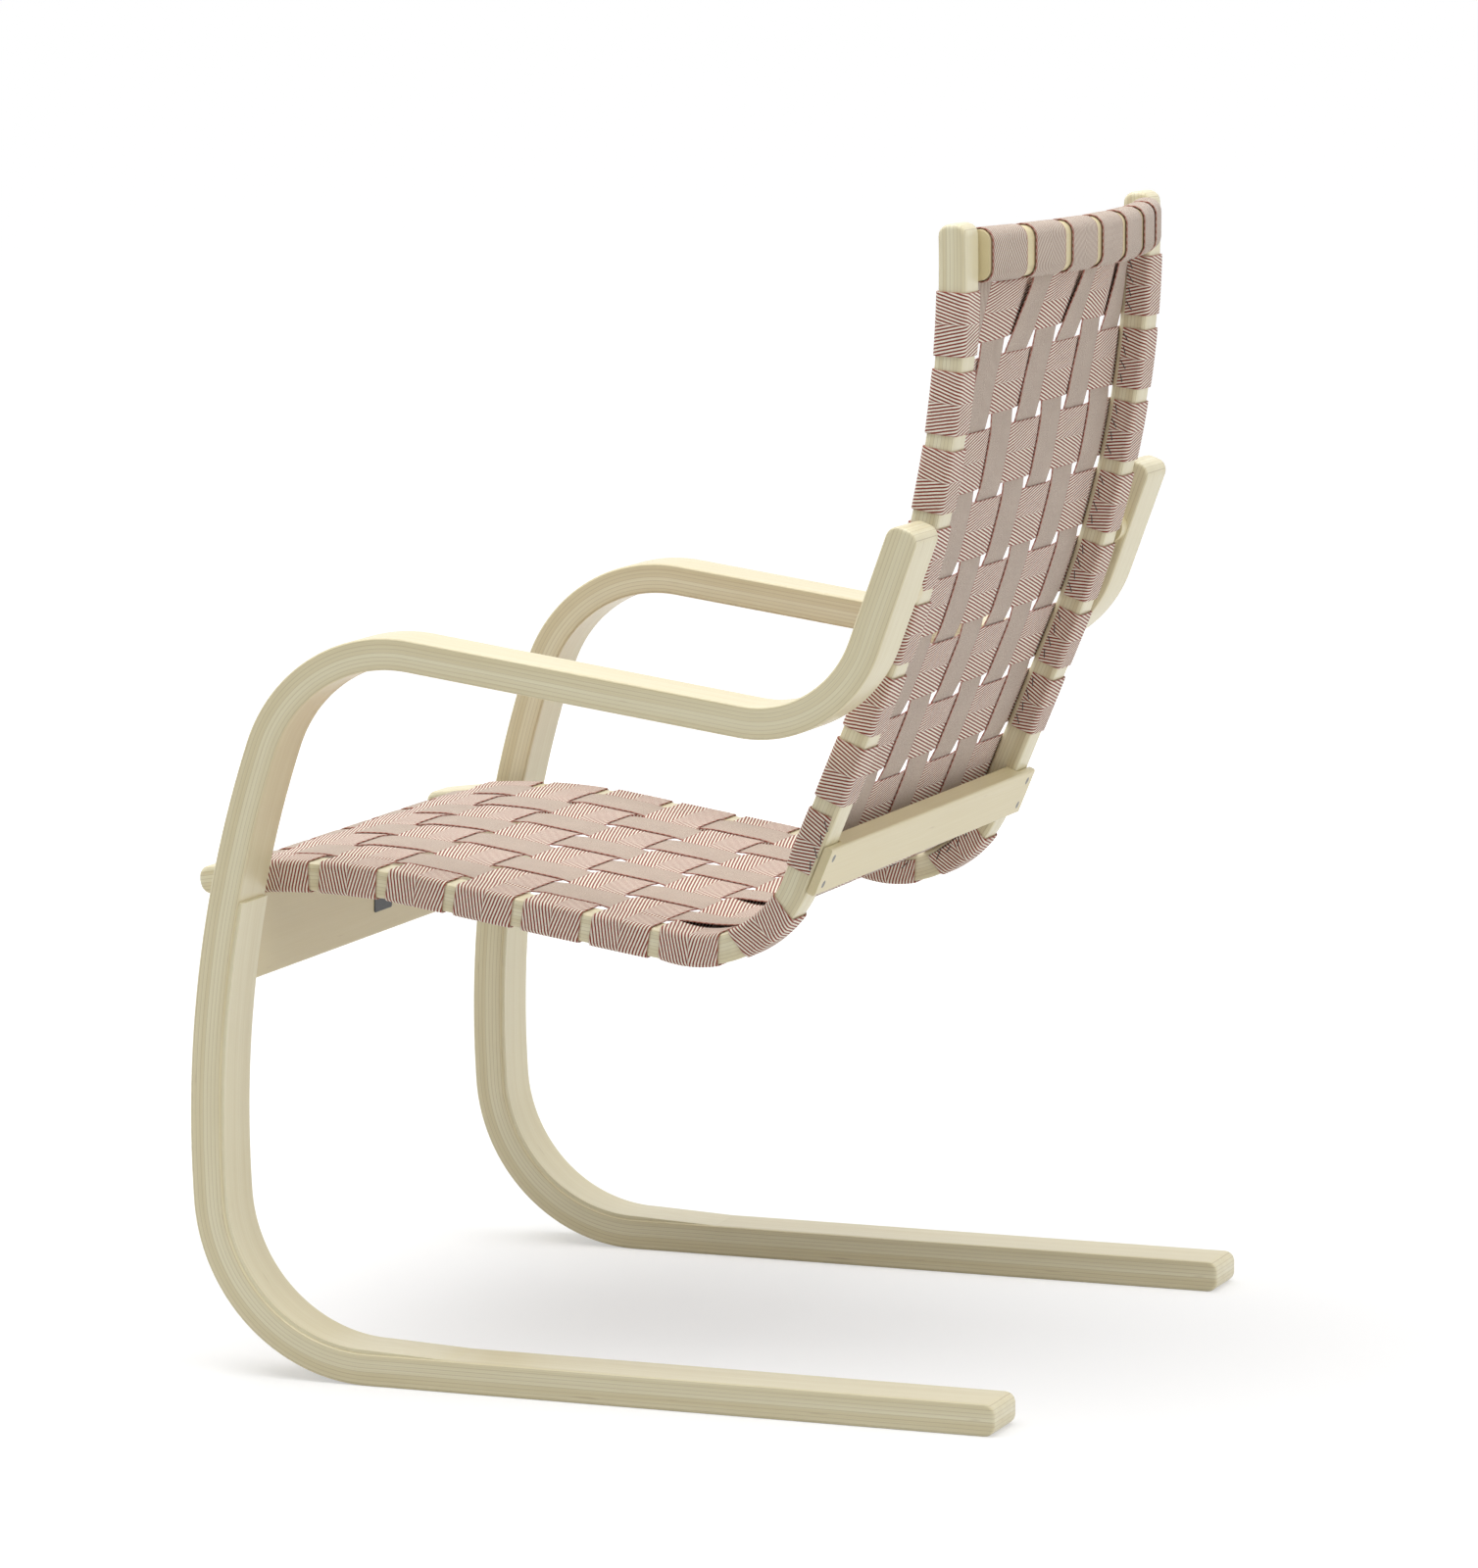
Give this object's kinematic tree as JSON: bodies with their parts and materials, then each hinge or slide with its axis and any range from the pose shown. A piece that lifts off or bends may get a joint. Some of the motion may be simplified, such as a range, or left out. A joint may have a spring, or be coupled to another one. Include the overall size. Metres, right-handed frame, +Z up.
{
  "type": "cantilever lounge chair",
  "caption": "Lounge chair of bent laminated wood: two cantilever side frames with arms carry a bent seat and back frame woven with belts.",
  "frame": {"origin": "centre of the bounding box's base, on the floor", "axes": "+Z up, -Y the front, +X the sitter's left; X = 0 is the plane of symmetry"},
  "size_m": [0.6, 0.6548, 0.8685],
  "materials": {
    "frame_birch": "clear satin lacquer on bent laminated birch",
    "ply_birch": "clear satin lacquer",
    "rail_birch": "clear satin lacquer on bent laminated birch",
    "board_birch": "clear satin lacquer on solid birch",
    "spacer_birch": "turned birch",
    "dowel_beech": "fluted dowel, glued",
    "weft_webbing": "herringbone webbing, brick red and off white",
    "warp_webbing": "herringbone webbing, paler and greyer",
    "steel": "zinc plated",
    "staple_steel": "dulled wire"
  },
  "bodies": {
    "root": {"left_side_frame": "frame_birch", "left_leg_ply": "ply_birch", "left_seat_rail": "rail_birch", "left_arm_spacer": "spacer_birch", "right_side_frame": "frame_birch", "right_leg_ply": "ply_birch", "right_seat_rail": "rail_birch", "right_arm_spacer": "spacer_birch", "front_cross_rail": "rail_birch", "top_cross_rail": "rail_birch", "front_stretcher": "board_birch", "rear_crossbar": "board_birch", "weft_belt_01": "weft_webbing", "weft_belt_02": "weft_webbing", "weft_belt_03": "weft_webbing", "weft_belt_04": "weft_webbing", "weft_belt_05": "weft_webbing", "weft_belt_06": "weft_webbing", "weft_belt_07": "weft_webbing", "weft_belt_08": "weft_webbing", "weft_belt_09": "weft_webbing", "weft_belt_10": "weft_webbing", "weft_belt_11": "weft_webbing", "weft_belt_12": "weft_webbing", "weft_belt_13": "weft_webbing", "weft_belt_14": "weft_webbing", "weft_belt_15": "weft_webbing", "weft_belt_16": "weft_webbing", "warp_belt_1": "warp_webbing", "warp_belt_2": "warp_webbing", "warp_belt_3": "warp_webbing", "warp_belt_4": "warp_webbing", "warp_belt_5": "warp_webbing", "warp_belt_6": "warp_webbing", "warp_belt_7": "warp_webbing", "arm_bolts": "steel", "stretcher_dowels": "dowel_beech", "seat_dowels": "dowel_beech", "cross_rail_dowels": "dowel_beech", "crossbar_screws": "steel", "weft_staples": "staple_steel"}
  },
  "joints": []
}
